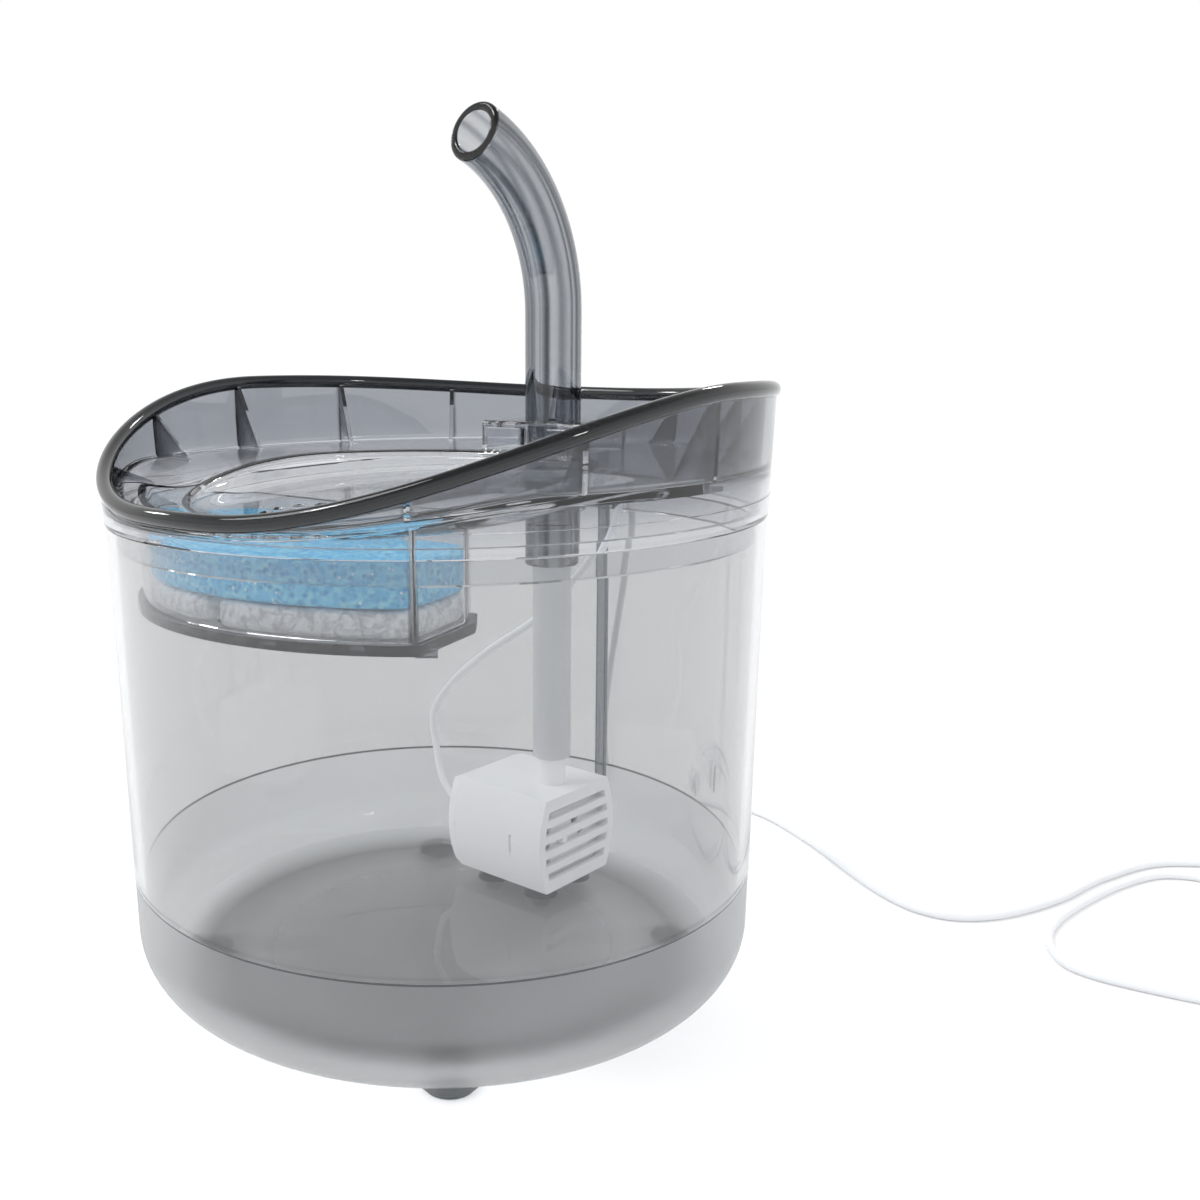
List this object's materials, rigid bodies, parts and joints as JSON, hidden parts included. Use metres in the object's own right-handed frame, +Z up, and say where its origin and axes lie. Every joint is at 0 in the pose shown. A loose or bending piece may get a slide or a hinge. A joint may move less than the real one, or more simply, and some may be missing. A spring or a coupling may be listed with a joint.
{
  "type": "pet water fountain",
  "caption": "Clear round tank with a tinted lid, drinking bowl, curved tap, filter pads and a small pump that lifts water to the tap through a riser tube.",
  "frame": {"origin": "middle of the base, on the surface that the feet stand on", "axes": "+Z up, -Y to the low drinking side, +Y to the tap and the cable's notch, X across"},
  "size_m": [0.31, 0.3146, 0.2401],
  "materials": {
    "clear_plastic": "polished and clear, with a fine frosted band at the bottom",
    "smoky_plastic": "polished, clear and tinted smoky grey",
    "clear_tube": "smooth drawn tube, cloudy clear",
    "pad_rubber": "soft, milky silicone",
    "white_plastic": "moulded with a fine satin surface",
    "seal_rubber": "soft silicone",
    "sponge": "open-cell blue foam",
    "cotton": "matted white filter cotton",
    "cable": "smooth white PVC jacket",
    "magnet": "black sintered ferrite",
    "ceramic": "white ceramic pin",
    "black_rubber": "soft rubber",
    "laminations": "stacked sheet steel",
    "copper_wire": "enamelled copper wire",
    "circuit_board": "green board with black parts",
    "plug_shell": "plated sheet steel"
  },
  "bodies": {
    "base": {"tank": "clear_plastic", "tank_feet": "pad_rubber", "riser_tube": "clear_tube", "pump_case": "white_plastic", "pump_back_cap": "white_plastic", "chamber_cover": "white_plastic", "chamber_seal": "black_rubber", "impeller_shaft": "ceramic", "shaft_bushes": "black_rubber", "stator_core": "laminations", "stator_coils": "copper_wire", "driver_board": "circuit_board", "suction_cups": "pad_rubber", "cable_gland": "cable", "pump_cable": "cable", "cable_coil": "cable", "coil_tie": "black_rubber", "cable_end": "cable", "usb_plug_body": "cable", "usb_shell": "plug_shell"},
    "lid": {"lid": "smoky_plastic", "cable_guide": "smoky_plastic"},
    "tap_ring": {"faucet_seal": "seal_rubber"},
    "tap": {"faucet": "smoky_plastic"},
    "filter": {"filter_cover": "smoky_plastic", "cotton_left": "cotton", "cotton_right": "cotton", "sponge": "sponge"},
    "rotor": {"impeller": "white_plastic", "rotor_magnet": "magnet"},
    "grille": {"pump_grille": "white_plastic"},
    "slider": {"flow_slider": "white_plastic"}
  },
  "joints": [
    {"name": "lid_lift", "type": "slide", "parent": "base", "child": "lid", "axis": [0, 0, 1], "range_m": [0, 0.11]},
    {"name": "tap_pull", "type": "slide", "parent": "lid", "child": "tap_ring", "axis": [0, 0, 1], "range_m": [0, 0.046]},
    {"name": "tap_swivel", "type": "hinge", "parent": "tap_ring", "child": "tap", "pos_m": [0, 0.051, 0.134], "axis": [0, 0, 1], "continuous": true},
    {"name": "filter_drop", "type": "slide", "parent": "lid", "child": "filter", "axis": [0, 0, -1], "range_m": [0, 0.05]},
    {"name": "impeller_spin", "type": "hinge", "parent": "base", "child": "rotor", "pos_m": [0, 0.051, 0.025], "axis": [1, 0, 0], "continuous": true},
    {"name": "grille_pull", "type": "slide", "parent": "base", "child": "grille", "axis": [1, 0, 0], "range_m": [0, 0.015]},
    {"name": "flow_slide", "type": "slide", "parent": "base", "child": "slider", "axis": [0, 1, 0], "range_m": [-0.005, 0.005]}
  ]
}
